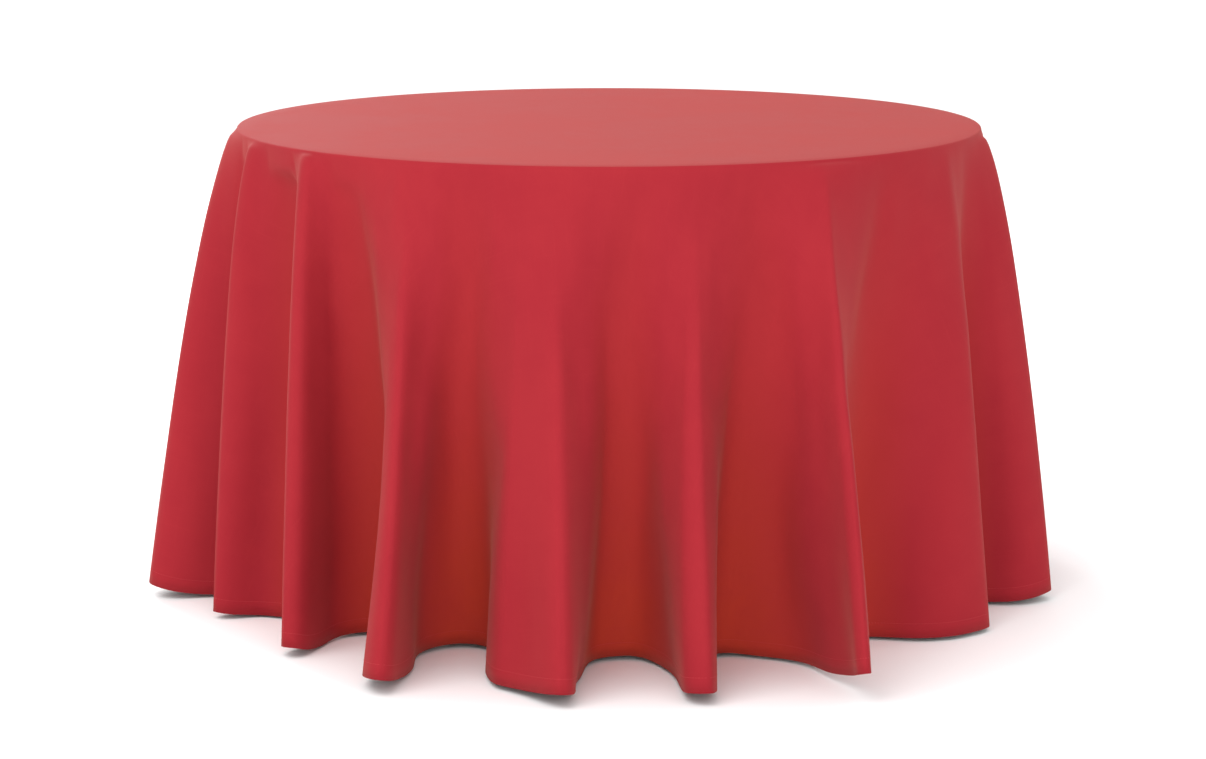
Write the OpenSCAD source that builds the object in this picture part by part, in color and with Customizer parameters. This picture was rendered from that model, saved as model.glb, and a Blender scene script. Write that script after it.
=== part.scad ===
// Round tablecloth draped over a folding table.
// Z is up, the floor is Z = 0, the origin is under the middle of the table, and the front faces -Y.
// All sizes are in millimetres.

/* [Table top] */
// Diameter of the table over its edge band
table_d = 1219.2; // [1016:0.1:1830]
// Height of the table surface above the floor
table_h = 762; // [635:1:915]
// Thickness of the plywood core
core_t = 19; // [15:0.5:25]
// Thickness of the laminate sheet on the core
laminate_t = 1.2; // [0.6:0.1:2]
// Thickness of the edge band outside the core
band_t = 3; // [2:0.5:5]
// Depth of the edge band's tongue in the core
tongue_l = 9; // [6:0.5:14]
// Thickness of the edge band's tongue
tongue_t = 2.4; // [1.6:0.1:4]

/* [Tablecloth] */
// Height of the hem above the floor
hem_gap = 19; // [8:1:60]
// How far the largest fold stands out past the table edge at the hem
fold_reach = 168; // [90:1:200]
// Thickness of the solid that stands for the fabric
cloth_t = 2; // [1:0.5:4]
// Gap between the fabric and the table
cloth_gap = 0.4; // [0.3:0.1:1]
// Width of the care label
label_w = 30; // [20:1:60]
// Height of the care label
label_h = 40; // [20:1:80]

/* [Legs] */
// Outside diameter of a leg tube
leg_d = 25.4; // [22:0.1:32]
// Wall of a leg tube
leg_wall = 1.5; // [1:0.1:2.5]
// Spacing of the legs of the wider, right frame
leg_gauge = 560; // [460:1:620]
// Distance of the leg pivots from the table edge
leg_inset = 210; // [190:1:260]
// Outside diameter of the cross bar
bar_d = 19; // [16:0.5:25]
// Wall of the cross bar
bar_wall = 1.5; // [1:0.1:2.5]
// Wall of a foot around its leg
foot_wall = 3.3; // [2:0.1:5]
// Height of a foot
foot_h = 30; // [20:1:50]
// Gap between the folded legs and the parts that they pass
nest_gap = 8; // [5:1:15]

/* [Stays] */
// Distance of a stay's pin from the leg pivots, measured along the table
stay_reach = 230; // [200:1:260]
// Distance of a stay's pin above the cross bar
stay_drop = 330; // [280:1:380]
// Width of a stay
stay_w = 22; // [18:1:30]
// Thickness of a stay
stay_t = 4; // [3:0.5:6]
// Clearance of a stay's hook around the cross bar
hook_gap = 0.5; // [0.3:0.1:1]

/* [Fittings] */
// Thickness of the bracket steel
plate_t = 3; // [2:0.5:4]
// Diameter of the pivot bolts and anchor pins
bolt_d = 8; // [6:0.5:10]
// Running clearance on the radius of a bolt or pin
run_gap = 0.05; // [0.02:0.01:0.1]
// Side clearance between a moving part and its bracket
side_gap = 0.5; // [0.3:0.1:1]
// Diameter of a wood screw's shank
screw_d = 5; // [4:0.5:6]
// Length of a wood screw in the core
screw_l = 14; // [10:1:14]
// Width of each flange of a stiffening rail
rail_w = 25; // [20:1:30]
// Thickness of a stiffening rail
rail_t = 2; // [1.5:0.5:3]

/* [Hidden] */
$fn = 64;
eps = 0.01;

// Table top
top_r = table_d / 2;
core_r = top_r - band_t;
underside_z = table_h - laminate_t - core_t;
band_round = 1.2;

// Sides: the left is -X, the right is +X
LEFT = -1;
RIGHT = 1;
FRONT = -1;
REAR = 1;

// Stays and their anchors
stay_pin_z = underside_z - stay_w / 2 - plate_t - 2;
stay_hook_offset = 7;
stay_end = 18;
stay_exit_angle = 21;
bolt_r = bolt_d / 2;
ear_end = bolt_r + 7;
anchor_w = 2 * ear_end + 8;
anchor_plate_y = 56;
anchor_screw_y = 19;

// Leg frames: the left one folds up first, the right one folds up under it
leg_r = leg_d / 2;
foot_r = leg_r + foot_wall;
foot_floor = 5;
pivot_x = top_r - leg_inset;
pivot_left_z = stay_pin_z - stay_w / 2 - leg_r - 2;
pivot_right_z = pivot_left_z - 2 * foot_r - nest_gap;
leg_right_y = leg_gauge / 2;
leg_left_y = leg_right_y - 2 * foot_r - nest_gap;
leg_end = bolt_r + 10;
bar_r = bar_d / 2;
bar_z = stay_pin_z - stay_drop;

// Brackets
ear_gap_y = leg_r + side_gap;
bracket_screw_y = ear_gap_y + plate_t + 8;
bracket_w = 2 * ear_end + 8;
bracket_plate_y = 2 * (bracket_screw_y + 8);
screw_r = screw_d / 2;
head_r = screw_r + 2;
head_h = 2.2;
bolt_head_h = 4;
pin_head_h = 2;

// Stiffening rails, just outside the brackets
rail_y = leg_right_y + bracket_plate_y / 2 + nest_gap;
rail_end_gap = 90;
rail_l = 2 * (sqrt(core_r * core_r - pow(rail_y + rail_w, 2)) - rail_end_gap);
rail_screw_x = [-0.45, -0.15, 0.15, 0.45] * rail_l;

// Cloth: one half turn of folds as [angle from the front, share of fold_reach], crest and hollow by turns
HALF_FOLDS = [
    [-77, 1], [-70, 0.25], [-60, 0.6], [-52, 0.1], [-41, 0.6],
    [-34, 0.1], [-26, 0.85], [-21, 0.05], [-9, 0.85], [1, 0.05],
    [10, 0.85], [18, 0.05], [27, 1], [40, 0.1], [52, 0.55],
    [62, 0.3], [72, 0.65], [80, 0.25], [88, 0.75], [95, 0.15]
];
half_turn = 180;
steps_per_side = 4;
skirt_rows = 6;
fold_growth = 1.4;
mean_share = 0.45;
edge_r = top_r + cloth_gap;
edge_round = 2.4;
cloth_z = table_h + cloth_gap;
FOLDS = concat(HALF_FOLDS, [for (f = HALF_FOLDS) [f[0] + half_turn, f[1]]]);
fold_count = len(FOLDS);

// A point on the way from fold point i to the next one: [angle, share]
function next_fold(i) = i + 1 < fold_count ? FOLDS[i + 1] : FOLDS[0] + [2 * half_turn, 0];
function ease(u) = (1 - cos(180 * u)) / 2;
function between(i, u) =
    let (a = FOLDS[i], b = next_fold(i))
    [a[0] + (b[0] - a[0]) * u, a[1] + (b[1] - a[1]) * ease(u)];
AROUND = [for (i = [0:fold_count - 1], j = [0:steps_per_side - 1]) between(i, j / steps_per_side)];

// Inner face of the skirt: radius at a share of the fold reach and at depth t, 0 at the edge and 1 at the hem
function skirt_r(share, t) =
    edge_r + fold_reach * (mean_share * t + (share - mean_share) * pow(t, fold_growth));
function skirt_z(t) = cloth_z + (hem_gap - cloth_z) * t;
function around_point(angle, r, z) = [r * sin(angle), -r * cos(angle), z];
function ring(r, z) = [for (p = AROUND) around_point(p[0], r, z)];
function skirt_ring(t) = [for (p = AROUND) around_point(p[0], skirt_r(p[1], t), skirt_z(t))];

// Outer face of the skirt: the inner ring moved out, square to its own line, by the cloth's thickness
function outer_ring(t) =
    let (inner = skirt_ring(t), n = len(inner))
    [for (j = [0:n - 1])
        let (along = inner[(j + 1) % n] - inner[(j + n - 1) % n])
        inner[j] + cloth_t * [along[1], -along[0], 0] / norm(along)];

// Triangles between ring k and ring k + 1, each of n points, cut along one diagonal going down and
// along the other going up, so that both faces of the cloth are cut the same way
function band_faces(k, n, going_up) = [
    for (j = [0:n - 1])
        let (a = k * n + j, b = k * n + (j + 1) % n)
        each going_up ? [[a, a + n, b + n], [a, b + n, b]] : [[a, a + n, b], [b, a + n, b + n]]
];

// Puts a part made for the right side on side s
module on_side(s) {
    mirror([s < 0 ? 1 : 0, 0, 0])
        children();
}

// A cylinder along Y, from its middle
module bar_y(r, l) {
    rotate([90, 0, 0])
        cylinder(r = r, h = l, center = true);
}

function pivot_z(s) = s == LEFT ? pivot_left_z : pivot_right_z;
function leg_y(s) = s == LEFT ? leg_left_y : leg_right_y;

// Places of the wood screws
module at_bracket_screws(s, e) {
    for (dx = [-1, 1], dy = [-1, 1])
        translate([s * pivot_x + dx * bracket_w / 4, e * leg_y(s) + dy * bracket_screw_y, 0])
            children();
}

module at_anchor_screws(s) {
    for (dx = [-1, 1], dy = [-1, 1])
        translate([s * (pivot_x - stay_reach) + dx * anchor_w / 4, dy * anchor_screw_y, 0])
            children();
}

module at_rail_screws(e) {
    for (x = rail_screw_x)
        translate([x, e * (rail_y + rail_w / 2), 0])
            children();
}

module at_all_screws() {
    for (s = [LEFT, RIGHT]) {
        for (e = [FRONT, REAR])
            at_bracket_screws(s, e) children();
        at_anchor_screws(s) children();
    }
    for (e = [FRONT, REAR])
        at_rail_screws(e) children();
}

// A screw hole through a plate under the core and into the core
module screw_hole() {
    translate([0, 0, underside_z - plate_t - eps])
        cylinder(r = screw_r, h = plate_t + screw_l + eps);
}

module screw(seat_t) {
    translate([0, 0, underside_z - seat_t])
        cylinder(r = screw_r, h = seat_t + screw_l);
    translate([0, 0, underside_z - seat_t - head_h])
        cylinder(r = head_r, h = head_h);
}

module top_core() {
    color("burlywood")
        difference() {
            translate([0, 0, underside_z])
                cylinder(r = core_r, h = core_t, $fn = 180);
            rotate_extrude($fn = 180)
                translate([core_r - tongue_l, underside_z + (core_t - tongue_t) / 2])
                    square([tongue_l + 1, tongue_t]);
            at_all_screws() screw_hole();
        }
}

module top_laminate() {
    color("antiquewhite")
        translate([0, 0, underside_z + core_t])
            cylinder(r = core_r, h = laminate_t, $fn = 180);
}

module band_profile() {
    height = core_t + laminate_t;
    square([band_t - band_round, height]);
    translate([0, band_round])
        square([band_t, height - 2 * band_round]);
    for (y = [band_round, height - band_round])
        translate([band_t - band_round, y])
            circle(r = band_round);
    translate([-tongue_l, (core_t - tongue_t) / 2])
        square([tongue_l + eps, tongue_t]);
}

module edge_band() {
    color("saddlebrown")
        rotate_extrude($fn = 180)
            translate([core_r, underside_z])
                band_profile();
}

module rail(e) {
    color("dimgray")
        difference() {
            union() {
                translate([-rail_l / 2, min(e * rail_y, e * (rail_y + rail_w)), underside_z - rail_t])
                    cube([rail_l, rail_w, rail_t]);
                translate([-rail_l / 2, min(e * rail_y, e * (rail_y + rail_t)), underside_z - rail_w])
                    cube([rail_l, rail_t, rail_w]);
            }
            at_rail_screws(e) screw_hole();
        }
}

// An ear that hangs from the core down to a bolt at height z
module ear(z, thickness) {
    translate([-ear_end, -thickness / 2, z])
        cube([2 * ear_end, thickness, underside_z - z]);
    translate([0, 0, z])
        bar_y(ear_end, thickness);
}

module bracket(s, e) {
    color("silver")
        difference() {
            translate([s * pivot_x, e * leg_y(s), 0]) {
                translate([-bracket_w / 2, -bracket_plate_y / 2, underside_z - plate_t])
                    cube([bracket_w, bracket_plate_y, plate_t]);
                for (side = [-1, 1])
                    translate([0, side * (ear_gap_y + plate_t / 2), 0])
                        ear(pivot_z(s), plate_t);
            }
            translate([s * pivot_x, e * leg_y(s), pivot_z(s)])
                bar_y(bolt_r, bracket_plate_y);
            at_bracket_screws(s, e) screw_hole();
        }
}

module pivot_bolt() {
    outer = ear_gap_y + plate_t;
    bar_y(bolt_r, 2 * outer + eps);
    for (side = [-1, 1])
        translate([0, side * (outer + bolt_head_h / 2), 0])
            rotate([90, 0, 0])
                cylinder(r = bolt_r + 3, h = bolt_head_h, center = true, $fn = 6);
}

module pivot_bolts(s) {
    color("gainsboro")
        for (e = [FRONT, REAR])
            translate([s * pivot_x, e * leg_y(s), pivot_z(s)])
                pivot_bolt();
}

module stay_anchor(s) {
    ear_y = stay_t / 2 + side_gap + plate_t / 2;
    color("silver")
        difference() {
            translate([s * (pivot_x - stay_reach), 0, 0]) {
                translate([-anchor_w / 2, -anchor_plate_y / 2, underside_z - plate_t])
                    cube([anchor_w, anchor_plate_y, plate_t]);
                for (side = [-1, 1])
                    translate([0, side * ear_y, 0])
                        ear(stay_pin_z, plate_t);
            }
            translate([s * (pivot_x - stay_reach), 0, stay_pin_z])
                bar_y(bolt_r, anchor_plate_y);
            at_anchor_screws(s) screw_hole();
        }
}

module anchor_pin(s) {
    outer = stay_t / 2 + side_gap + plate_t;
    color("gainsboro")
        translate([s * (pivot_x - stay_reach), 0, stay_pin_z]) {
            bar_y(bolt_r, 2 * outer + eps);
            for (side = [-1, 1])
                translate([0, side * (outer + pin_head_h / 2), 0])
                    bar_y(bolt_r + 2, pin_head_h);
        }
}

module bracket_screws() {
    color("gray")
        for (s = [LEFT, RIGHT], e = [FRONT, REAR])
            at_bracket_screws(s, e) screw(plate_t);
}

module anchor_screws() {
    color("gray")
        for (s = [LEFT, RIGHT])
            at_anchor_screws(s) screw(plate_t);
}

module rail_screws() {
    color("gray")
        for (e = [FRONT, REAR])
            at_rail_screws(e) screw(rail_t);
}

module leg(s, e) {
    top = pivot_z(s) + leg_end;
    color("slategray")
        translate([s * pivot_x, e * leg_y(s), 0])
            difference() {
                translate([0, 0, foot_floor])
                    cylinder(r = leg_r, h = top - foot_floor);
                translate([0, 0, foot_floor - eps])
                    cylinder(r = leg_r - leg_wall, h = top - foot_floor + 2 * eps);
                translate([0, 0, pivot_z(s)])
                    bar_y(bolt_r + run_gap, leg_d + 2);
            }
}

// The bar's ends are cut to sit on the leg tubes
module cross_bar(s) {
    color("slategray")
        difference() {
            translate([s * pivot_x, 0, bar_z])
                bar_y(bar_r, 2 * leg_y(s));
            translate([s * pivot_x, 0, bar_z])
                bar_y(bar_r - bar_wall, 2 * leg_y(s) + 2);
            for (e = [FRONT, REAR])
                translate([s * pivot_x, e * leg_y(s), bar_z - bar_d])
                    cylinder(r = leg_r, h = 2 * bar_d);
        }
}

module foot(s, e) {
    chamfer = 2.5;
    color("black")
        translate([s * pivot_x, e * leg_y(s), 0])
            rotate_extrude()
                polygon([
                    [0, 0], [foot_r - chamfer, 0], [foot_r, chamfer], [foot_r, foot_h - 1],
                    [foot_r - 1, foot_h], [leg_r, foot_h], [leg_r, foot_floor], [0, foot_floor]
                ]);
}

// A stay along +X from its pin: the hook is cut in its lower edge, over the cross bar
module stay_outline(length_to_bar) {
    end_x = length_to_bar + stay_end;
    difference() {
        union() {
            translate([0, -stay_w / 2])
                square([end_x, stay_w]);
            for (x = [0, end_x])
                translate([x, 0])
                    circle(d = stay_w);
        }
        circle(r = bolt_r + run_gap);
        translate([length_to_bar, -stay_hook_offset]) {
            circle(r = bar_r + hook_gap);
            translate([-bar_r - hook_gap, -stay_w])
                square([2 * (bar_r + hook_gap), stay_w]);
            rotate(-stay_exit_angle)
                translate([-bar_r - hook_gap, -stay_w])
                    square([2 * (bar_r + hook_gap), stay_w]);
        }
    }
}

module stay(s) {
    span = norm([stay_reach, stay_drop]);
    tilt = atan2(stay_drop, stay_reach) - asin(stay_hook_offset / span);
    color("slategray")
        on_side(s)
            translate([pivot_x - stay_reach, 0, stay_pin_z])
                rotate([0, tilt, 0])
                    rotate([90, 0, 0])
                        linear_extrude(height = stay_t, center = true)
                            stay_outline(sqrt(span * span - stay_hook_offset * stay_hook_offset));
}

module tablecloth() {
    top_z = cloth_z + cloth_t;
    points = concat(
        ring(edge_r + cloth_t - edge_round, top_z),
        ring(edge_r + cloth_t, top_z - edge_round),
        [for (k = [1:skirt_rows]) each outer_ring(k / skirt_rows)],
        [for (k = [skirt_rows:-1:1]) each skirt_ring(k / skirt_rows)],
        ring(edge_r, cloth_z)
    );
    n = len(AROUND);
    last = 2 * skirt_rows + 2;
    color([0.78, 0.22, 0.22])
        polyhedron(points, concat(
            [[for (j = [0:n - 1]) j]],
            [for (k = [0:last - 1]) each band_faces(k, n, k > skirt_rows + 1)],
            [[for (j = [n - 1:-1:0]) last * n + j]]
        ));
}

// A flat tab that hangs just inside the hem, behind a hollow of the rear
module care_label() {
    label_t = 0.6;
    label_clear = 0.5;
    label_low = 6;
    low_t = 1 - label_low / (cloth_z - hem_gap);
    high_t = low_t - label_h / (cloth_z - hem_gap);
    hollow = FOLDS[len(HALF_FOLDS) + 9];
    low_r = skirt_r(hollow[1], low_t) - label_clear;
    high_r = skirt_r(hollow[1], high_t) - label_clear;
    color("white")
        rotate([0, 0, hollow[0] - half_turn])
            translate([-label_w / 2, 0, 0])
                rotate([90, 0, 90])
                    linear_extrude(height = label_w)
                        polygon([
                            [low_r, skirt_z(low_t)], [low_r - label_t, skirt_z(low_t)],
                            [high_r - label_t, skirt_z(high_t)], [high_r, skirt_z(high_t)]
                        ]);
}

top_core();
top_laminate();
edge_band();
rail(FRONT);  // rail_front
rail(REAR);  // rail_rear
bracket(LEFT, FRONT);  // bracket_left_front
bracket(LEFT, REAR);  // bracket_left_rear
bracket(RIGHT, FRONT);  // bracket_right_front
bracket(RIGHT, REAR);  // bracket_right_rear
pivot_bolts(LEFT);  // pivot_bolts_left
pivot_bolts(RIGHT);  // pivot_bolts_right
stay_anchor(LEFT);  // stay_anchor_left
stay_anchor(RIGHT);  // stay_anchor_right
anchor_pin(LEFT);  // anchor_pin_left
anchor_pin(RIGHT);  // anchor_pin_right
bracket_screws();
anchor_screws();
rail_screws();
leg(LEFT, FRONT);  // leg_left_front
leg(LEFT, REAR);  // leg_left_rear
cross_bar(LEFT);  // cross_bar_left
foot(LEFT, FRONT);  // foot_left_front
foot(LEFT, REAR);  // foot_left_rear
leg(RIGHT, FRONT);  // leg_right_front
leg(RIGHT, REAR);  // leg_right_rear
cross_bar(RIGHT);  // cross_bar_right
foot(RIGHT, FRONT);  // foot_right_front
foot(RIGHT, REAR);  // foot_right_rear
stay(LEFT);  // stay_left
stay(RIGHT);  // stay_right
tablecloth();
care_label();
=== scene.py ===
import math

import bpy
import numpy as np
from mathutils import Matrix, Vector


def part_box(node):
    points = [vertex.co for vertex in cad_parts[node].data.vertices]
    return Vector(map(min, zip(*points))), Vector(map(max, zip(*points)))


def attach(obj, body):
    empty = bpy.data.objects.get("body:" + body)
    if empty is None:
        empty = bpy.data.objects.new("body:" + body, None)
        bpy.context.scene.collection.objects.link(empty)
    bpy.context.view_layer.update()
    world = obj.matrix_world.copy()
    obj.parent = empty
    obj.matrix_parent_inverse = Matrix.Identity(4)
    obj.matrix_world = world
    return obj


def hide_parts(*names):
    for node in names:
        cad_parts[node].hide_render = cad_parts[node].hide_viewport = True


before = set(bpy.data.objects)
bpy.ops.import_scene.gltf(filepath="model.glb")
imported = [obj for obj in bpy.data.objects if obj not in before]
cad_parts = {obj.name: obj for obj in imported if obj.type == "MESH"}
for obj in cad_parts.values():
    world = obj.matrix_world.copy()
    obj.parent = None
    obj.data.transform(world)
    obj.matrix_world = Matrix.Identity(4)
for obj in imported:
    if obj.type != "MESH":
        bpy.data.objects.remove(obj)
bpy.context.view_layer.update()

print("frame loaded:", len(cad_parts), "nodes")

# sizes taken from the frame
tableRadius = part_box("edge_band")[1].y
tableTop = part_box("top_laminate")[1].z

shot = {
    "distance": 8.0,  # in table radii, from the table's middle
    "above": 0.846,  # in table radii, over the table top
    "pitchDown": 10.99,
    "turnLeft": 0.115,
    "lens": 88.27,
}


def addCamera():
    data = bpy.data.cameras.new("camera")
    data.lens = shot["lens"]
    data.sensor_width = 36
    data.clip_end = 60
    camera = bpy.data.objects.new("camera", data)
    camera.location = (0, -shot["distance"] * tableRadius, tableTop + shot["above"] * tableRadius)
    camera.rotation_euler = (math.radians(90 - shot["pitchDown"]), 0, math.radians(shot["turnLeft"]))
    bpy.context.scene.collection.objects.link(camera)
    bpy.context.scene.camera = camera


addCamera()
print("camera placed")


# an empty group with its sockets, ready for nodes
def newGroup(name, inputs, outputs):
    group = bpy.data.node_groups.new(name, "ShaderNodeTree")
    for socket, kind, value in inputs:
        made = group.interface.new_socket(name=socket, in_out="INPUT", socket_type=kind)
        if value is not None:
            made.default_value = value
    for socket, kind in outputs:
        group.interface.new_socket(name=socket, in_out="OUTPUT", socket_type=kind)
    return group, group.nodes.new("NodeGroupInput"), group.nodes.new("NodeGroupOutput")


# joins a socket to another socket, or sets it to a plain value
def plug(tree, value, socket):
    if isinstance(value, bpy.types.NodeSocket):
        tree.links.new(value, socket)
    else:
        socket.default_value = value


def maths(tree, operation, first, second=0.0):
    node = tree.nodes.new("ShaderNodeMath")
    node.operation = operation
    plug(tree, first, node.inputs[0])
    plug(tree, second, node.inputs[1])
    return node.outputs[0]


def stretched(tree, vector, scale):
    node = tree.nodes.new("ShaderNodeVectorMath")
    node.operation = "MULTIPLY"
    plug(tree, vector, node.inputs[0])
    plug(tree, scale, node.inputs[1])
    return node.outputs[0]


def noise(tree, vector, scale, detail, roughness=0.5):
    node = tree.nodes.new("ShaderNodeTexNoise")
    plug(tree, vector, node.inputs["Vector"])
    plug(tree, scale, node.inputs["Scale"])
    node.inputs["Detail"].default_value = detail
    node.inputs["Roughness"].default_value = roughness
    return node.outputs["Fac"]


# 0 below low, 1 above high, smooth between them
def between(tree, value, low, high):
    node = tree.nodes.new("ShaderNodeMapRange")
    node.interpolation_type = "SMOOTHSTEP"
    plug(tree, value, node.inputs["Value"])
    plug(tree, low, node.inputs["From Min"])
    plug(tree, high, node.inputs["From Max"])
    return node.outputs["Result"]


def mixed(tree, share, first, second):
    node = tree.nodes.new("ShaderNodeMix")
    node.data_type = "RGBA"
    plug(tree, share, node.inputs["Factor"])
    plug(tree, first, node.inputs["A"])
    plug(tree, second, node.inputs["B"])
    return node.outputs["Result"]


# plain weave: two sets of threads that cross over and under, with thicker slubs here and there
def weaveGroup():
    group, given, put = newGroup(
        "plain weave",
        [
            ("Vector", "NodeSocketVector", None),
            ("Threads", "NodeSocketFloat", 900.0),
            ("Slub", "NodeSocketFloat", 0.5),
        ],
        [("Height", "NodeSocketFloat"), ("Slubs", "NodeSocketFloat")],
    )
    vector = given.outputs["Vector"]
    split = group.nodes.new("ShaderNodeSeparateXYZ")
    group.links.new(vector, split.inputs[0])
    turns = maths(group, "MULTIPLY", given.outputs["Threads"], math.pi)
    waves = [maths(group, "SINE", maths(group, "MULTIPLY", split.outputs[axis], turns)) for axis in "XY"]
    crossing = maths(group, "MULTIPLY", waves[0], waves[1])
    warp = noise(group, stretched(group, vector, (240, 9, 1)), 1.0, 2.0)
    weft = noise(group, stretched(group, vector, (9, 240, 1)), 1.0, 2.0)
    slubs = between(group, maths(group, "MAXIMUM", warp, weft), 0.55, 0.8)
    raised = maths(group, "MULTIPLY", slubs, given.outputs["Slub"])
    height = maths(group, "ADD", maths(group, "MULTIPLY", crossing, 0.25), raised)
    group.links.new(height, put.inputs["Height"])
    group.links.new(slubs, put.inputs["Slubs"])
    return group


# soft uneven tone at two sizes
def mottleGroup():
    group, given, put = newGroup(
        "soft mottle",
        [("Vector", "NodeSocketVector", None), ("Scale", "NodeSocketFloat", 6.0)],
        [("Value", "NodeSocketFloat")],
    )
    broad = noise(group, given.outputs["Vector"], given.outputs["Scale"], 2.0)
    close = noise(group, given.outputs["Vector"], maths(group, "MULTIPLY", given.outputs["Scale"], 7.0), 4.0)
    value = maths(group, "ADD", maths(group, "MULTIPLY", broad, 0.65), maths(group, "MULTIPLY", close, 0.35))
    group.links.new(between(group, value, 0.35, 0.65), put.inputs["Value"])
    return group


# rubbed patches and short scratches on hard parts
def scuffGroup():
    group, given, put = newGroup(
        "scuffs",
        [("Vector", "NodeSocketVector", None), ("Amount", "NodeSocketFloat", 0.3)],
        [("Mask", "NodeSocketFloat"), ("Height", "NodeSocketFloat")],
    )
    vector = given.outputs["Vector"]
    rubbed = noise(group, vector, 38.0, 5.0, 0.7)
    scratch = noise(group, stretched(group, vector, (900, 60, 140)), 1.0, 3.0, 0.6)
    edge = maths(group, "SUBTRACT", 0.78, maths(group, "MULTIPLY", given.outputs["Amount"], 0.2))
    top = maths(group, "ADD", edge, 0.08)
    mask = maths(group, "MAXIMUM", between(group, rubbed, edge, top), between(group, scratch, edge, top))
    group.links.new(mask, put.inputs["Mask"])
    group.links.new(maths(group, "SUBTRACT", 1.0, mask), put.inputs["Height"])
    return group


# dust on what faces up
def dustGroup():
    group, given, put = newGroup(
        "dust",
        [("Vector", "NodeSocketVector", None), ("Amount", "NodeSocketFloat", 0.3)],
        [("Mask", "NodeSocketFloat")],
    )
    normal = group.nodes.new("ShaderNodeNewGeometry").outputs["Normal"]
    split = group.nodes.new("ShaderNodeSeparateXYZ")
    group.links.new(normal, split.inputs[0])
    facing = between(group, split.outputs["Z"], 0.2, 0.9)
    patchy = between(group, noise(group, given.outputs["Vector"], 55.0, 5.0, 0.65), 0.35, 0.7)
    mask = maths(group, "MULTIPLY", maths(group, "MULTIPLY", facing, patchy), given.outputs["Amount"])
    group.links.new(mask, put.inputs["Mask"])
    return group


effects = {"weave": weaveGroup(), "mottle": mottleGroup(), "scuffs": scuffGroup(), "dust": dustGroup()}


# a material with its tree, its shader and the piece's own coordinates in metres
def newMaterial(name, roughness, metallic=0.0, specular=0.5):
    material = bpy.data.materials.new(name)
    material.use_nodes = True
    tree = material.node_tree
    shader = tree.nodes["Principled BSDF"]
    shader.inputs["Roughness"].default_value = roughness
    shader.inputs["Metallic"].default_value = metallic
    shader.inputs["Specular IOR Level"].default_value = specular
    place = tree.nodes.new("ShaderNodeTexCoord").outputs["Object"]
    return material, tree, shader, place


def effect(tree, name, vector, **values):
    node = tree.nodes.new("ShaderNodeGroup")
    node.node_tree = effects[name]
    tree.links.new(vector, node.inputs["Vector"])
    for socket, value in values.items():
        node.inputs[socket].default_value = value
    return node.outputs


def bumped(tree, shader, height, depth, strength):
    node = tree.nodes.new("ShaderNodeBump")
    node.inputs["Distance"].default_value = depth
    node.inputs["Strength"].default_value = strength
    plug(tree, height, node.inputs["Height"])
    plug(tree, node.outputs["Normal"], shader.inputs["Normal"])


def attribute(tree, name):
    node = tree.nodes.new("ShaderNodeAttribute")
    node.attribute_name = name
    return node.outputs


redFabric = {
    "ridge": (0.290, 0.0165, 0.0250, 1),
    # hollow: a brighter, more orange red painted into the fold hollows, standing in for light bounced between
    # the folds and shining through the cloth; ridge is the cloth's own red
    "hollow": (0.440, 0.0430, 0.0210, 1),
    "worn": (0.355, 0.0260, 0.0320, 1),
    "roughness": 0.72,
    "sheen": 0.095,
    "sheenTint": (1.0, 0.62, 0.44, 1),
    "threads": 1100.0,  # a metre
}


def redCloth():
    material, tree, shader, _ = newMaterial("red cloth", redFabric["roughness"], specular=0.04)
    cutPlace = tree.nodes.new("ShaderNodeUVMap")
    cutPlace.uv_map = "cut"
    flat = cutPlace.outputs["UV"]
    weave = effect(tree, "weave", flat, Threads=redFabric["threads"], Slub=0.5)
    mottle = effect(tree, "mottle", flat, Scale=3.0)["Value"]
    # painted fold light: the hollow attribute shifts the red toward the brighter, warmer hollow tint
    hollow = attribute(tree, "hollow")["Fac"]
    colour = mixed(tree, hollow, redFabric["ridge"], redFabric["hollow"])
    uneven = maths(tree, "MULTIPLY", mottle, 0.28)
    colour = mixed(tree, uneven, colour, redFabric["worn"])
    colour = mixed(tree, maths(tree, "MULTIPLY", weave["Slubs"], 0.18), colour, redFabric["worn"])
    tree.links.new(colour, shader.inputs["Base Color"])
    rough = maths(tree, "ADD", maths(tree, "MULTIPLY", mottle, 0.08), redFabric["roughness"] - 0.04)
    tree.links.new(rough, shader.inputs["Roughness"])
    shader.inputs["Sheen Weight"].default_value = redFabric["sheen"]
    shader.inputs["Sheen Roughness"].default_value = 0.45
    shader.inputs["Sheen Tint"].default_value = redFabric["sheenTint"]
    bumped(tree, shader, weave["Height"], 0.00012, 0.6)
    return material


def redThread():
    material, tree, shader, place = newMaterial("red thread", 0.55, specular=0.4)
    split = tree.nodes.new("ShaderNodeSeparateXYZ")
    tree.links.new(place, split.inputs[0])
    twist = maths(tree, "SINE", maths(tree, "MULTIPLY", split.outputs["Z"], 9000.0))
    strands = noise(tree, place, 2600.0, 2.0)
    colour = mixed(tree, strands, (0.36, 0.018, 0.024, 1), (0.56, 0.045, 0.055, 1))
    tree.links.new(colour, shader.inputs["Base Color"])
    bumped(tree, shader, maths(tree, "ADD", twist, strands), 0.00006, 0.5)
    return material


def labelWeave():
    material, tree, shader, place = newMaterial("label satin", 0.38, specular=0.5)
    fine = noise(tree, stretched(tree, place, (2500, 2500, 300)), 1.0, 2.0)
    tone = effect(tree, "mottle", place, Scale=60.0)["Value"]
    colour = mixed(tree, tone, (0.80, 0.79, 0.75, 1), (0.88, 0.87, 0.84, 1))
    tree.links.new(colour, shader.inputs["Base Color"])
    bumped(tree, shader, fine, 0.00006, 0.5)
    return material


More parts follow.
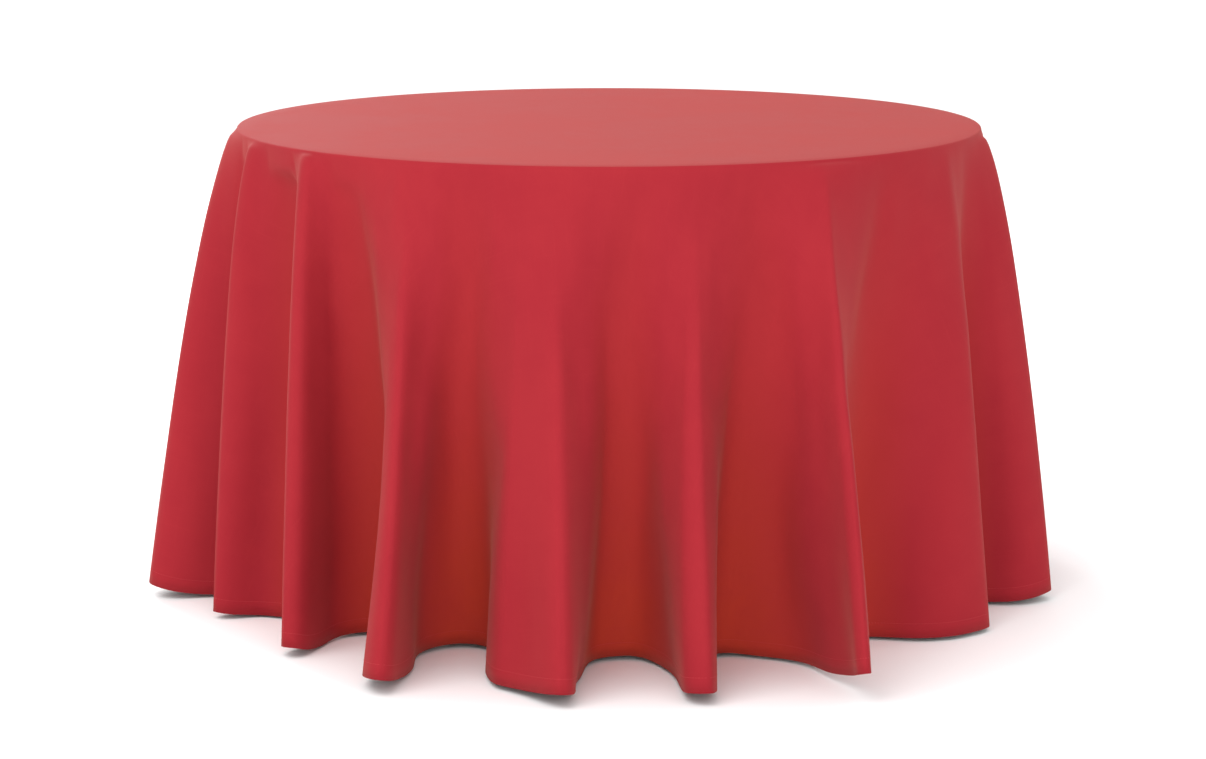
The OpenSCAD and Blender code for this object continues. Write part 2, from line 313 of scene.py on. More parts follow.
def laminate():
    material, tree, shader, place = newMaterial("speckled laminate", 0.34)
    speck = between(tree, noise(tree, place, 900.0, 2.0, 0.7), 0.60, 0.68)
    tone = effect(tree, "mottle", place, Scale=9.0)["Value"]
    scuff = effect(tree, "scuffs", place, Amount=0.5)
    colour = mixed(tree, tone, (0.62, 0.61, 0.58, 1), (0.70, 0.69, 0.66, 1))
    colour = mixed(tree, speck, colour, (0.36, 0.35, 0.33, 1))
    colour = mixed(tree, maths(tree, "MULTIPLY", scuff["Mask"], 0.35), colour, (0.80, 0.79, 0.77, 1))
    tree.links.new(colour, shader.inputs["Base Color"])
    rough = maths(tree, "ADD", maths(tree, "MULTIPLY", scuff["Mask"], 0.25), 0.32)
    tree.links.new(rough, shader.inputs["Roughness"])
    bumped(tree, shader, noise(tree, place, 1500.0, 2.0), 0.00005, 0.5)
    return material


# birch grain on the faces below and where the edge shows
def plywood():
    material, tree, shader, place = newMaterial("birch plywood", 0.6, specular=0.35)
    wander = noise(tree, stretched(tree, place, (0.7, 5, 5)), 1.0, 4.0)
    rings = tree.nodes.new("ShaderNodeTexWave")
    rings.bands_direction = "Y"
    rings.inputs["Scale"].default_value = 9.0
    rings.inputs["Distortion"].default_value = 7.0
    rings.inputs["Detail"].default_value = 3.0
    rings.inputs["Detail Scale"].default_value = 0.8
    tree.links.new(stretched(tree, place, (0.12, 1, 1)), rings.inputs["Vector"])
    pores = noise(tree, stretched(tree, place, (28, 1100, 300)), 1.0, 3.0)
    colour = mixed(tree, rings.outputs["Fac"], (0.56, 0.36, 0.18, 1), (0.69, 0.49, 0.28, 1))
    colour = mixed(tree, maths(tree, "MULTIPLY", wander, 0.5), colour, (0.62, 0.40, 0.21, 1))
    dark = between(tree, pores, 0.58, 0.72)
    colour = mixed(tree, maths(tree, "MULTIPLY", dark, 0.45), colour, (0.33, 0.19, 0.09, 1))
    tree.links.new(colour, shader.inputs["Base Color"])
    bumped(tree, shader, maths(tree, "SUBTRACT", 1.0, dark), 0.00012, 0.5)
    return material


def edgeVinyl():
    material, tree, shader, place = newMaterial("edge vinyl", 0.48)
    scuff = effect(tree, "scuffs", place, Amount=0.7)
    dust = effect(tree, "dust", place, Amount=0.3)["Mask"]
    tone = effect(tree, "mottle", place, Scale=14.0)["Value"]
    colour = mixed(tree, tone, (0.050, 0.045, 0.042, 1), (0.075, 0.068, 0.062, 1))
    colour = mixed(tree, maths(tree, "MULTIPLY", scuff["Mask"], 0.5), colour, (0.20, 0.18, 0.17, 1))
    colour = mixed(tree, dust, colour, (0.40, 0.38, 0.35, 1))
    tree.links.new(colour, shader.inputs["Base Color"])
    bumped(tree, shader, noise(tree, place, 700.0, 4.0), 0.0001, 0.5)
    return material


powderCoat = {"base": (0.095, 0.10, 0.11, 1), "worn": (0.34, 0.34, 0.34, 1), "peel": 420.0}


# powder coat with its orange peel, rubbed to bare steel here and there
def coatedSteel(name, tint, roughness):
    material, tree, shader, place = newMaterial(name, roughness)
    scuff = effect(tree, "scuffs", place, Amount=0.8)
    dust = effect(tree, "dust", place, Amount=0.35)["Mask"]
    tone = effect(tree, "mottle", place, Scale=8.0)["Value"]
    dark = tuple(0.8 * channel for channel in tint[:3]) + (1,)
    colour = mixed(tree, tone, dark, tint)
    colour = mixed(tree, maths(tree, "MULTIPLY", scuff["Mask"], 0.7), colour, powderCoat["worn"])
    colour = mixed(tree, dust, colour, (0.42, 0.40, 0.37, 1))
    tree.links.new(colour, shader.inputs["Base Color"])
    tree.links.new(maths(tree, "MULTIPLY", scuff["Mask"], 0.6), shader.inputs["Metallic"])
    rough = maths(tree, "ADD", maths(tree, "MULTIPLY", tone, 0.1), roughness - 0.05)
    tree.links.new(rough, shader.inputs["Roughness"])
    peel = maths(tree, "MULTIPLY", noise(tree, place, powderCoat["peel"], 2.0), scuff["Height"])
    bumped(tree, shader, peel, 0.00015, 0.5)
    return material


# bright zinc with its crystal spangle
def zincPlate():
    material, tree, shader, place = newMaterial("zinc plate", 0.36, metallic=1.0)
    cells = tree.nodes.new("ShaderNodeTexVoronoi")
    cells.inputs["Scale"].default_value = 150.0
    tree.links.new(place, cells.inputs["Vector"])
    bands = tree.nodes.new("ShaderNodeSeparateColor")
    tree.links.new(cells.outputs["Color"], bands.inputs["Color"])
    crystal = bands.outputs["Red"]
    scuff = effect(tree, "scuffs", place, Amount=0.6)
    dust = effect(tree, "dust", place, Amount=0.3)["Mask"]
    colour = mixed(tree, crystal, (0.55, 0.56, 0.57, 1), (0.72, 0.73, 0.74, 1))
    colour = mixed(tree, dust, colour, (0.42, 0.40, 0.37, 1))
    tree.links.new(colour, shader.inputs["Base Color"])
    rough = maths(tree, "ADD", maths(tree, "MULTIPLY", crystal, 0.18), 0.28)
    tree.links.new(rough, shader.inputs["Roughness"])
    bumped(tree, shader, scuff["Height"], 0.00008, 0.4)
    return material


def boltSteel():
    material, tree, shader, place = newMaterial("bolt steel", 0.3, metallic=1.0)
    turned = noise(tree, stretched(tree, place, (60, 60, 1800)), 1.0, 2.0)
    tone = effect(tree, "mottle", place, Scale=30.0)["Value"]
    colour = mixed(tree, tone, (0.46, 0.46, 0.47, 1), (0.60, 0.60, 0.61, 1))
    tree.links.new(colour, shader.inputs["Base Color"])
    tree.links.new(maths(tree, "ADD", maths(tree, "MULTIPLY", turned, 0.2), 0.2), shader.inputs["Roughness"])
    bumped(tree, shader, turned, 0.00003, 0.4)
    return material


def footRubber():
    material, tree, shader, place = newMaterial("foot rubber", 0.82, specular=0.3)
    tone = effect(tree, "mottle", place, Scale=40.0)["Value"]
    scuff = effect(tree, "scuffs", place, Amount=0.9)
    dust = effect(tree, "dust", place, Amount=0.5)["Mask"]
    colour = mixed(tree, tone, (0.020, 0.020, 0.021, 1), (0.042, 0.041, 0.040, 1))
    colour = mixed(tree, maths(tree, "MULTIPLY", scuff["Mask"], 0.4), colour, (0.12, 0.115, 0.11, 1))
    colour = mixed(tree, dust, colour, (0.38, 0.36, 0.33, 1))
    tree.links.new(colour, shader.inputs["Base Color"])
    bumped(tree, shader, noise(tree, place, 1200.0, 3.0), 0.0001, 0.5)
    return material


finishes = {
    "top_core": plywood(),
    "top_laminate": laminate(),
    "edge_band": edgeVinyl(),
    "rail": coatedSteel("rail coat", (0.055, 0.056, 0.058, 1), 0.5),
    "bracket_screws": boltSteel(),
    "leg": coatedSteel("leg coat", powderCoat["base"], 0.42),
    "foot": footRubber(),
    "bracket": zincPlate(),
}
finishes["cross_bar"] = finishes["leg"]
finishes["stay"] = finishes["leg"]
finishes["stay_anchor"] = finishes["bracket"]
for fixings in ("anchor_screws", "rail_screws", "pivot_bolts", "anchor_pin"):
    finishes[fixings] = finishes["bracket_screws"]


# each table node takes the finish with the longest name that its own name starts with
def finishTable():
    for name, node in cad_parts.items():
        known = [start for start in finishes if name.startswith(start)]
        if known:
            node.data.materials.clear()
            node.data.materials.append(finishes[max(known, key=len)])


finishTable()
print("table finished in", len(bpy.data.materials), "materials")


cloth = {
    "flatRadius": 1.3716,
    "columns": 432,
    "skirtRows": 24,
    "rowGrading": 1.25,  # above 1 puts the rows closer near the table edge
    "clearance": 0.0009,  # from the table to the middle of the fabric
    "bend": 0.003,  # radius over the table's edge
    "thickness": 0.0006,
    "flare": 0.62,  # the lower, the sooner the skirt stands out below the edge
    "fullness": 1.05,  # how much deeper the folds are cut than they start
    "follow": 0.8,  # how far the threads at the edge turn with the folds below them
    "edgeDrop": 0.038,  # the skirt stays outside the table's edge down to here
    "tuck": 0.7,  # how steeply it may run in under the table below that
    "floorGap": 0.007,
    "topRings": (0.35, 0.7, 0.95),  # in table radii
    "bendTurns": (0, 30, 60, 90),  # degrees round the table's edge
    "cornerCuts": 4,
    "leastDrop": 0.4,  # share of its own length that each step of the skirt hangs down, at the least
    "foldWindow": 44,  # columns over which a fold's middle line is taken
    "turnWindow": 90,
    "startWindow": 24,
    "liftWindow": 12,
    "paintedLightAtEdge": 0.35,  # share of the painted hollow light near the table's edge
    "paintedLightCurve": 1.5,  # above 1 keeps the painted hollow light nearer the hem
    "paintedLightDepth": 0.15,  # in table radii, from the middle of a fold to where its colour is deepest, the painted hollow light at its strongest
}

# each fold at the hem, seen from above: the corners of its crest and of the hollow after it, as angle from
# the front and radius in table radii. A low start makes the fold rise right at the table edge
hemFolds = [
    {
        "crest": [(-80, 1.285), (-75.5, 1.29)],
        "hollow": [(-73.8, 1.08), (-71, 0.95), (-67, 0.96)],
        "start": 0.75,
    },
    {
        "crest": [(-65.3, 1.18), (-61.8, 1.14)],
        "hollow": [(-60, 1.03), (-56, 0.95), (-46, 0.9)],
        "start": 0.5,
    },
    {
        "crest": [(-45, 1.2), (-41, 1.19)],
        "hollow": [(-42.4, 1.08), (-44.6, 0.97), (-41, 0.87), (-31.5, 0.88)],
        "start": 0.5,
    },
    {
        "crest": [(-28.9, 1.23), (-25, 1.335), (-23, 1.325)],
        "hollow": [(-24, 1.18), (-28.6, 0.98), (-27, 0.86), (-18.5, 0.87)],
        "start": 1.2,
    },
    {
        "crest": [(-14.8, 1.16), (-11.5, 1.2), (-5.6, 1.317), (-3.2, 1.312)],
        "hollow": [(-3.2, 1.0), (-2, 0.9), (7.6, 0.9)],
        "start": 1.5,
    },
    {
        "crest": [(8, 1.25), (9.1, 1.3), (12, 1.32)],
        "hollow": [(13.4, 0.97), (18, 0.905), (22.5, 0.945)],
        "start": 1.4,
    },
    {
        "crest": [(26.6, 1.06), (25.6, 1.26), (24.4, 1.44), (26.4, 1.45)],
        "hollow": [(29.5, 1.02), (36, 0.93), (42, 0.95)],
        "start": 1.0,
    },
    {
        "crest": [(48.5, 1.06), (53, 1.14), (59.6, 1.185)],
        "hollow": [(61, 1.0), (67, 0.965)],
        "start": 0.55,
    },
    {
        "crest": [(70.5, 1.08), (71.5, 1.2), (77.5, 1.275)],
        "hollow": [(79.5, 0.98), (84, 0.97)],
        "start": 0.8,
    },
    {
        "crest": [(87, 1.195), (93, 1.215)],
        "hollow": [(95, 0.962), (102, 0.952)],
        "start": 1.1,
    },
    {
        "crest": [(105, 1.225), (111, 1.205)],
        "hollow": [(113, 0.962), (120, 0.952)],
        "start": 0.8,
    },
    {
        "crest": [(124, 1.175), (130, 1.205)],
        "hollow": [(132, 0.97), (139, 0.962)],
        "start": 0.55,
    },
    {
        "crest": [(142, 1.215), (148, 1.225)],
        "hollow": [(149, 0.942), (156, 0.932)],
        "start": 0.6,
    },
    {
        "crest": [(159, 1.195), (166, 1.205)],
        "hollow": [(167, 1.0), (190, 1.0)],
        "start": 1.1,
    },
    {
        "crest": [(191, 1.225), (196, 1.195)],
        "hollow": [(197, 0.962), (204, 0.952)],
        "start": 1.1,
    },
    {
        "crest": [(207, 1.185), (212, 1.215)],
        "hollow": [(213, 0.942), (220, 0.942)],
        "start": 0.6,
    },
    {
        "crest": [(223, 1.225), (228, 1.205)],
        "hollow": [(230, 0.962), (237, 0.952)],
        "start": 0.55,
    },
    {
        "crest": [(240, 1.185), (245, 1.225)],
        "hollow": [(247, 0.952), (254, 0.952)],
        "start": 0.7,
    },
    {
        "crest": [(257, 1.205), (263, 1.185)],
        "hollow": [(266, 0.97), (273, 0.97)],
        "start": 1.0,
    },
]


def planPoint(angle, radius):
    turn = math.radians(angle)
    return (radius * math.sin(turn), -radius * math.cos(turn))


# cuts every corner of the closed line a quarter of the way along its sides, again and again
def roundCorners(points):
    for _ in range(cloth["cornerCuts"]):
        after = np.roll(points, -1, axis=0)
        points = np.stack([0.75 * points + 0.25 * after, 0.25 * points + 0.75 * after], axis=1).reshape(-1, 2)
    return points


def evenlySpaced(points, count):
    loop = np.vstack([points, points[:1]])
    along = np.concatenate([[0], np.cumsum(np.linalg.norm(np.diff(loop, axis=0), axis=1))])
    wanted = np.arange(count) * along[-1] / count
    return np.stack([np.interp(wanted, along, loop[:, k]) for k in (0, 1)], axis=1), along[-1]


def hemPlan():
    corners = [planPoint(*p) for fold in hemFolds for p in fold["crest"] + fold["hollow"]]
    return evenlySpaced(roundCorners(np.array(corners) * tableRadius), cloth["columns"])


# running mean round the closed line
def smoothRound(values, width):
    kernel = np.hanning(width + 2)
    kernel /= kernel.sum()
    reach = len(kernel) // 2
    padded = np.concatenate([values[-reach:], values, values[:reach]])
    return np.convolve(padded, kernel, mode="same")[reach:-reach]


# share of the skirt's length at each row, 0 at the edge and 1 at the hem
def clothRows():
    steps = np.arange(cloth["skirtRows"] + 1) / cloth["skirtRows"]
    return steps ** cloth["rowGrading"]


hem, hemLength = hemPlan()
columns = cloth["columns"]
hemAngle = np.unwrap(np.arctan2(hem[:, 0], -hem[:, 1]))
columnStep = 2 * math.pi / columns
firstAngle = np.mean(hemAngle - np.arange(columns) * columnStep)
rimAngle = firstAngle + np.arange(columns) * columnStep
rimAngle += cloth["follow"] * smoothRound(hemAngle - rimAngle, cloth["turnWindow"])
edgeRadius = tableRadius + cloth["clearance"]
rimPlan = edgeRadius * np.stack([np.sin(rimAngle), -np.cos(rimAngle)], axis=1)
skirtLength = cloth["flatRadius"] - tableRadius
print("hem plan:", round(hemLength, 3), "m of", round(2 * math.pi * cloth["flatRadius"], 3),
      "largest turn", round(math.degrees(np.abs(hemAngle - rimAngle).max()), 1))


# rings over the table and round its edge, as radius and height
def topRows():
    bend, height = cloth["bend"], tableTop + cloth["clearance"]
    rings = [(share * tableRadius, height) for share in cloth["topRings"]]
    for degrees in cloth["bendTurns"]:
        turn = math.radians(degrees)
        rings.append((edgeRadius - bend + bend * math.sin(turn), height - bend + bend * math.cos(turn)))
    return rings


# how soon each column's fold rises, between the folds' own values
def foldStarts():
    turns = [math.radians(sum(a for a, _ in fold["crest"]) / 2) for fold in hemFolds]
    values = [fold["start"] for fold in hemFolds]
    nearest = np.interp(hemAngle, turns, values, period=2 * math.pi)
    return smoothRound(nearest, cloth["startWindow"])


# pushes the hollows out to clear the table's edge
def keepOutside(plan, depth):
    nearest = edgeRadius - max(depth - cloth["edgeDrop"], 0) * cloth["tuck"]
    radius = np.linalg.norm(plan, axis=1, keepdims=True)
    return plan * np.maximum(1, nearest / radius)


# the cloth on the table: rows of points from the table to the hem
def drapedShape(fullness=1.0):
    rings = topRows()
    grid = [np.column_stack([rimPlan / edgeRadius * r, np.full(columns, z)]) for r, z in rings]
    rows = clothRows()
    meanPlan = np.stack([smoothRound(hem[:, k], cloth["foldWindow"]) for k in (0, 1)], axis=1)
    swing = hem - meanPlan
    starts = foldStarts()[:, None]
    before, beforeShare = rimPlan, 0
    height = np.full(columns, rings[-1][1])
    for share in rows[1:]:
        grow = share ** cloth["flare"]
        plan = rimPlan * (1 - grow) + meanPlan * grow + swing * fullness * share ** starts
        plan = keepOutside(plan, share * skirtLength)
        step = (share - beforeShare) * skirtLength
        sideways = np.linalg.norm(plan - before, axis=1)
        height = height - np.sqrt(np.maximum(step ** 2 - sideways ** 2, (cloth["leastDrop"] * step) ** 2))
        grid.append(np.column_stack([plan, height]))
        before, beforeShare = plan, share
    return np.array(grid)


def gridFaces(rows, count, closeMiddle=True):
    faces = [list(range(count))] if closeMiddle else []
    for k in range(rows - 1):
        for j in range(count):
            a, b = k * count + j, k * count + (j + 1) % count
            faces.append((a, a + count, b + count, b))
    return faces


def meshObject(name, points, faces):
    mesh = bpy.data.meshes.new(name)
    mesh.from_pydata([tuple(p) for p in points], [], faces)
    mesh.update()
    mesh.polygons.foreach_set("use_smooth", [True] * len(mesh.polygons))
    piece = bpy.data.objects.new(name, mesh)
    bpy.context.scene.collection.objects.link(piece)
    return piece


fall = {
    "frames": 16,
    "quality": 5,
    "mass": 0.02,
    "tension": 30,
    "compression": 20,
    "shear": 8,
    "bending": 12,
    "threadDamping": 10,
    "bendDamping": 2,
    "air": 4,
    "hold": 0.08,  # how firmly the skirt keeps its folds, 1 is pinned
    "cap": 0.03,  # the furthest a point may move
    "ironing": 2,
}


# lets the skirt hang from the table's edge and returns where each point comes to rest
def letFall(start):
    rows = len(start)
    piece = meshObject("falling", start.reshape(-1, 3), gridFaces(rows, columns))
    piece.shape_key_add(name="Basis")
    cut = piece.shape_key_add(name="cut")
    cut.data.foreach_set("co", drapedShape(cloth["fullness"]).ravel())
    cut.value = 0
    held = piece.vertex_groups.new(name="held")
    pinned = len(topRows()) * columns
    held.add(list(range(pinned)), 1.0, "REPLACE")
    held.add(list(range(pinned, rows * columns)), fall["hold"], "REPLACE")
    modifier = piece.modifiers.new("Cloth", "CLOTH")
    settings = modifier.settings
    settings.quality = fall["quality"]
    settings.mass = fall["mass"]
    settings.tension_stiffness = fall["tension"]
    settings.compression_stiffness = fall["compression"]
    settings.shear_stiffness = fall["shear"]
    settings.bending_stiffness = fall["bending"]
    settings.tension_damping = fall["threadDamping"]
    settings.compression_damping = fall["threadDamping"]
    settings.shear_damping = fall["threadDamping"]
    settings.bending_damping = fall["bendDamping"]
    settings.air_damping = fall["air"]
    settings.vertex_group_mass = "held"
    settings.rest_shape_key = cut
    modifier.collision_settings.use_collision = False
    modifier.collision_settings.use_self_collision = False
    modifier.point_cache.frame_start = 1
    modifier.point_cache.frame_end = fall["frames"]
    scene = bpy.context.scene
    for number in range(1, fall["frames"] + 1):
        scene.frame_set(number)
    shape = piece.evaluated_get(bpy.context.evaluated_depsgraph_get()).to_mesh()
    fallen = np.zeros(len(shape.vertices) * 3)
    shape.vertices.foreach_get("co", fallen)
    fallen = fallen.reshape(rows, columns, 3)
    scene.frame_set(1)
    bpy.data.objects.remove(piece, do_unlink=True)
    moved = settle(fallen - start)
    far = np.linalg.norm(moved, axis=2, keepdims=True)
    mean, most = (round(1000 * float(value), 1) for value in (far.mean(), far.max()))
    print("cloth moved by", mean, "mm on average, at most", most)
    return start + moved * np.minimum(1, fall["cap"] / np.maximum(far, 1e-9))


# takes the small ripples out of the movement
def settle(moved):
    for _ in range(fall["ironing"]):
        moved = (np.roll(moved, 1, axis=1) + 2 * moved + np.roll(moved, -1, axis=1)) / 4
        moved[1:-1] = (moved[:-2] + 2 * moved[1:-1] + moved[2:]) / 4
    return moved


# after the fall, the skirt is still outside the table's edge and its hem clear of the floor
def clearEdge(grid):
    for k, share in enumerate(clothRows()):
        row = grid[len(topRows()) - 1 + k]
        row[:, :2] = keepOutside(row[:, :2], share * skirtLength)
    low = np.maximum(0, cloth["floorGap"] - grid[-1, :, 2])
    for k, share in enumerate(clothRows()):
        grid[len(topRows()) - 1 + k, :, 2] += smoothRound(low, cloth["liftWindow"]) * share
    return grid


# painted fold light: 0 on the crests and 1 in the deepest hollows near the hem, where the colour takes a
# brighter, warmer tint standing in for light bounced and shining through the cloth
def paintedHollowLight(grid):
    radius = np.linalg.norm(grid[..., :2], axis=2)
    mean = np.array([smoothRound(row, cloth["foldWindow"]) for row in radius])
    deep = np.clip((mean - radius) / (cloth["paintedLightDepth"] * tableRadius), 0, 1)
    shares = np.concatenate([np.zeros(len(topRows()) - 1), clothRows()])[:, None]
    atEdge = cloth["paintedLightAtEdge"]
    return deep * (atEdge + (1 - atEdge) * shares ** cloth["paintedLightCurve"])


# where each point lies on the cloth as it is cut, flat
def flatPlaces():
    radii = [r for r, _ in topRows()[:-1]] + list(tableRadius + clothRows() * skirtLength)
    turns = np.arange(columns) * columnStep
    return np.array([np.column_stack([r * np.sin(turns), -r * np.cos(turns)]) for r in radii])


# doubles the rows or the columns on a smooth curve through the points
def finer(grid, axis):
    if axis == 1:
        before, after, after2 = (np.roll(grid, k, axis=1) for k in (1, -1, -2))
        middle = (9 * (grid + after) - before - after2) / 16
        return np.stack([grid, middle], axis=2).reshape(len(grid), -1, grid.shape[2])
    padded = np.concatenate([2 * grid[:1] - grid[1:2], grid, 2 * grid[-1:] - grid[-2:-1]])
    middle = (9 * (grid[:-1] + grid[1:]) - padded[:-3] - padded[3:]) / 16
    finished = np.empty((2 * len(grid) - 1, *grid.shape[1:]))
    finished[0::2], finished[1::2] = grid, middle
    return finished


def thicken(piece, thickness):
    modifier = piece.modifiers.new("thickness", "SOLIDIFY")
    modifier.thickness = thickness
    modifier.offset = 0


draped = drapedShape()
draped = clearEdge(letFall(draped))
print("cloth hangs")

# place, flat place, painted hollow light and share of the skirt, all made finer together
edgeRow = len(topRows()) - 1
shares = np.concatenate([np.zeros(edgeRow), clothRows()])
shareGrid = np.repeat(shares[:, None, None], columns, axis=1)
everything = np.concatenate([draped, flatPlaces(), paintedHollowLight(draped)[..., None], shareGrid], axis=2)
fine = finer(np.concatenate([everything[:edgeRow], finer(everything[edgeRow:], 0)]), 1)
fineSkirt = fine[edgeRow:]


def clothSheet():
    piece = meshObject("cloth_sheet", fine[..., :3].reshape(-1, 3), gridFaces(*fine.shape[:2]))
    mesh = piece.data
    loops = np.zeros(len(mesh.loops), int)
    mesh.loops.foreach_get("vertex_index", loops)
    flat = fine[..., 3:5].reshape(-1, 2)
    mesh.uv_layers.new(name="cut").data.foreach_set("uv", flat[loops].ravel())
    # the hollow attribute carries the painted fold light to the material
    hollow = mesh.attributes.new("hollow", "FLOAT", "POINT")
    hollow.data.foreach_set("value", fine[..., 5].ravel())
    thicken(piece, cloth["thickness"])
    piece.data.materials.append(fabric)
    return piece


fabric = redCloth()
sheet = clothSheet()
print("cloth sheet:", len(sheet.data.polygons), "faces")

hemEdge = {
    "turned": [(0, 0), (-0.0004, 0.0002), (-0.0004, 0.0006), (0, 0.0008), (0.008, 0.0008), (0.016, 0.0008),
               (0.0245, 0.0008), (0.025, 0.0006)],  # height above the hem and way in from the cloth
    "thickness": 0.0005,
    "stitchRise": 0.022,
    "stitchPitch": 0.0048,
    "stitchLength": 0.0034,
    "stitchWidth": 0.0006,
    "stitchLift": 0.0005,
}

# each ring's place along the stitch, its share of the width and its share of the lift
stitch = {
    "sides": 6,
    "rings": [(-0.5, 0.35, 0.1), (-0.25, 0.9, 0.8), (0.25, 0.9, 0.8), (0.5, 0.35, 0.1)],
}


# the line round the cloth at a height above the hem, measured along the cloth, and its outward normals
def hemLine(rise):
    share = 1 - rise / skirtLength
    rowShares = fineSkirt[:, 0, 6]
    k = int(np.clip(np.searchsorted(rowShares, share) - 1, 0, len(rowShares) - 2))
    part = (share - rowShares[k]) / (rowShares[k + 1] - rowShares[k])
    line = fineSkirt[k] * (1 - part) + fineSkirt[k + 1] * part
    along = np.roll(line[:, :3], -1, axis=0) - np.roll(line[:, :3], 1, axis=0)
    down = fineSkirt[k + 1, :, :3] - fineSkirt[k, :, :3]
    outward = np.cross(down, along)
    return line, outward / np.linalg.norm(outward, axis=1, keepdims=True)


def turnedHem():
    rows = []
    for rise, inward in hemEdge["turned"]:
        line, outward = hemLine(rise)
        rows.append(np.concatenate([line[:, :3] - outward * inward, line[:, 3:6]], axis=1))
    grid = np.array(rows)
    faces = gridFaces(*grid.shape[:2], closeMiddle=False)
    piece = meshObject("hem_turning", grid[..., :3].reshape(-1, 3), faces)
    mesh = piece.data
    loops = np.zeros(len(mesh.loops), int)
    mesh.loops.foreach_get("vertex_index", loops)
    mesh.uv_layers.new(name="cut").data.foreach_set("uv", grid[..., 3:5].reshape(-1, 2)[loops].ravel())
    # the hollow attribute carries the painted fold light to the material
    mesh.attributes.new("hollow", "FLOAT", "POINT").data.foreach_set("value", grid[..., 5].ravel())
    thicken(piece, hemEdge["thickness"])
    piece.data.materials.append(fabric)
    return piece


def alongLine(distance, run, values):
    return np.array([np.interp(distance, run, values[:, k]) for k in range(3)])


# a row of stitches along a line, each a short thread that dips into the cloth at both ends
def stitchRow(name, points, outward, pitch, length, width, lift, closed=True):
    loop = np.vstack([points, points[:1]]) if closed else points
    normals = np.vstack([outward, outward[:1]]) if closed else outward
    run = np.concatenate([[0], np.cumsum(np.linalg.norm(np.diff(loop, axis=0), axis=1))])
    count = int(run[-1] / pitch)
    sides, rings = stitch["sides"], stitch["rings"]
    vertices, faces = [], []
    for number in range(count):
        middle = (number + 0.5) * run[-1] / count
        ends = [alongLine(middle + end * length / 2, run, loop) for end in (-1, 1)]
        out = alongLine(middle, run, normals)
        across = np.cross(ends[1] - ends[0], out)
        across /= np.linalg.norm(across)
        first = len(vertices)
        for place, thick, rise in rings:
            centre = (ends[0] + ends[1]) / 2 + (ends[1] - ends[0]) * place + out * lift * rise
            for side in range(sides):
                turn = 2 * math.pi * side / sides
                spoke = across * math.cos(turn) + out * math.sin(turn)
                vertices.append(centre + spoke * width / 2 * thick)
        for ring in range(len(rings) - 1):
            for side in range(sides):
                a, b = first + ring * sides + side, first + ring * sides + (side + 1) % sides
                faces.append((a, b, b + sides, a + sides))
        faces.append(tuple(first + side for side in reversed(range(sides))))
        faces.append(tuple(first + (len(rings) - 1) * sides + side for side in range(sides)))
    piece = meshObject(name, vertices, faces)
    piece.data.materials.append(thread)
    return piece


thread = redThread()
hemTurning = turnedHem()
stitchLine, stitchOut = hemLine(hemEdge["stitchRise"])
hemStitching = stitchRow(
    "hem_stitching",
    stitchLine[:, :3],
    stitchOut,
    hemEdge["stitchPitch"],
    hemEdge["stitchLength"],
    hemEdge["stitchWidth"],
    hemEdge["stitchLift"],
)
pointsPerStitch = stitch["sides"] * len(stitch["rings"])
print("hem sewn with", len(hemStitching.data.vertices) // pointsPerStitch, "stitches")

label = {
    "width": 0.030,
    "low": 0.006,  # above the hem
    "high": 0.046,
    "standOff": 0.0016,
    "curl": 0.0016,
    "thickness": 0.0004,
    "seam": 0.0025,  # from the label's upper edge to its stitches
    "across": 13,  # points in each of its rows
    "up": 15,
    "nearby": 40,  # points of the cloth looked at on each side of the label's middle
    "stitchPitch": 0.0028,
    "stitchLength": 0.002,
    "stitchWidth": 0.0005,
    "stitchLift": 0.0003,
}


# points of the label on the inside of the cloth, from its lower edge up
def labelGrid():
    low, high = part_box("care_label")
    middle, half = (low + high) / 2, label["nearby"]
    rows = []
    for rise in np.linspace(label["low"], label["high"], label["up"]):
        line, outward = hemLine(rise)
        column = int(np.argmin(np.linalg.norm(line[:, :2] - np.array(middle[:2]), axis=1)))
        around = (np.roll(values, half - column, axis=0) for values in (line[:, :3], outward))
        line, outward = (values[:2 * half + 1] for values in around)
        run = np.concatenate([[0], np.cumsum(np.linalg.norm(np.diff(line, axis=0), axis=1))])
        run -= run[half]
        free = (label["high"] - rise) / (label["high"] - label["low"])
        row = []
        for reach in np.linspace(-0.5, 0.5, label["across"]) * label["width"]:
            point, out = (alongLine(reach, run, values) for values in (line, outward))
            curl = label["curl"] * free ** 2 * (2 * reach / label["width"]) ** 2
            row.append((point - out * (label["standOff"] + curl), -out))
        rows.append(row)
    return rows


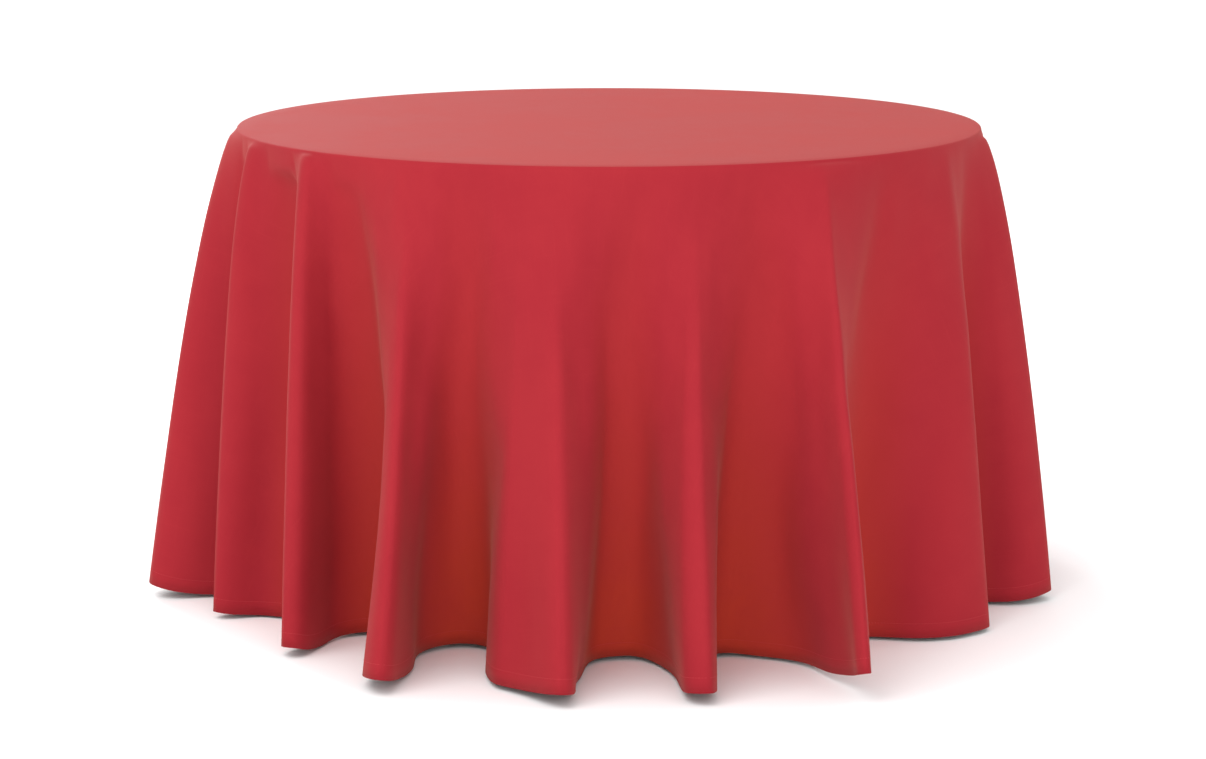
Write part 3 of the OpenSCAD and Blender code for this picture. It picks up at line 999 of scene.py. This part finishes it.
def careLabel():
    across, up = label["across"], label["up"]
    rows = labelGrid()
    points = [point for row in rows for point, _ in row]
    faces = [(k * across + j, k * across + j + 1, (k + 1) * across + j + 1, (k + 1) * across + j)
             for k in range(up - 1) for j in range(across - 1)]
    piece = meshObject("care_label_woven", points, faces)
    thicken(piece, label["thickness"])
    piece.data.materials.append(labelWeave())
    share = label["seam"] / (label["high"] - label["low"]) * (up - 1)
    seam = [(p * (1 - share) + q * share, n) for (p, n), (q, _) in zip(rows[-1], rows[-2])]
    line, outward = (np.array([pair[k] for pair in seam]) for k in (0, 1))
    stitches = stitchRow(
        "label_stitching",
        line,
        outward,
        label["stitchPitch"],
        label["stitchLength"],
        label["stitchWidth"],
        label["stitchLift"],
        closed=False,
    )
    return piece, stitches


careLabelWoven, labelStitching = careLabel()
print("label sewn in")

for piece in (sheet, hemTurning, hemStitching, careLabelWoven, labelStitching):
    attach(piece, "cloth")
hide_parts("tablecloth")
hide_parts("care_label")


studio = {
    "floorSize": 30,
    "floorColour": (0.94, 0.94, 0.94, 1),
    "floorRoughness": 0.9,
    "worldStrength": 1.2,
}

# place, aim, size and power
lights = {
    "key": ((-2.2, -2.6, 4.6), (0, 0, 0.6), 3.5, 110),
    "fill": ((0.6, -6, 1.2), (0, 0, 0.4), 3.5, 90),
    "back": ((-2.5, 4.5, 3.0), (0, 0, 0.7), 3, 160),
}


def addStudio():
    bpy.ops.mesh.primitive_plane_add(size=studio["floorSize"], location=(0, 0, 0))
    floor = bpy.context.object
    floor.name = "floor"
    paint = bpy.data.materials.new("pale floor")
    paint.use_nodes = True
    shader = paint.node_tree.nodes["Principled BSDF"]
    shader.inputs["Base Color"].default_value = studio["floorColour"]
    shader.inputs["Roughness"].default_value = studio["floorRoughness"]
    floor.data.materials.append(paint)
    world = bpy.data.worlds.new("studio")
    world.use_nodes = True
    background = world.node_tree.nodes["Background"]
    background.inputs["Color"].default_value = (1, 1, 1, 1)
    background.inputs["Strength"].default_value = studio["worldStrength"]
    bpy.context.scene.world = world
    bpy.context.scene.view_settings.view_transform = "Standard"


def addLight(name, place, aim, size, power):
    data = bpy.data.lights.new(name, "AREA")
    data.size = size
    data.energy = power
    light = bpy.data.objects.new(name, data)
    light.location = place
    light.rotation_euler = (Vector(aim) - Vector(place)).to_track_quat("-Z", "Y").to_euler()
    bpy.context.scene.collection.objects.link(light)


addStudio()
for lightName, (lightPlace, lightAim, lightSize, lightPower) in lights.items():
    addLight(lightName, lightPlace, lightAim, lightSize, lightPower)
print("studio lit")
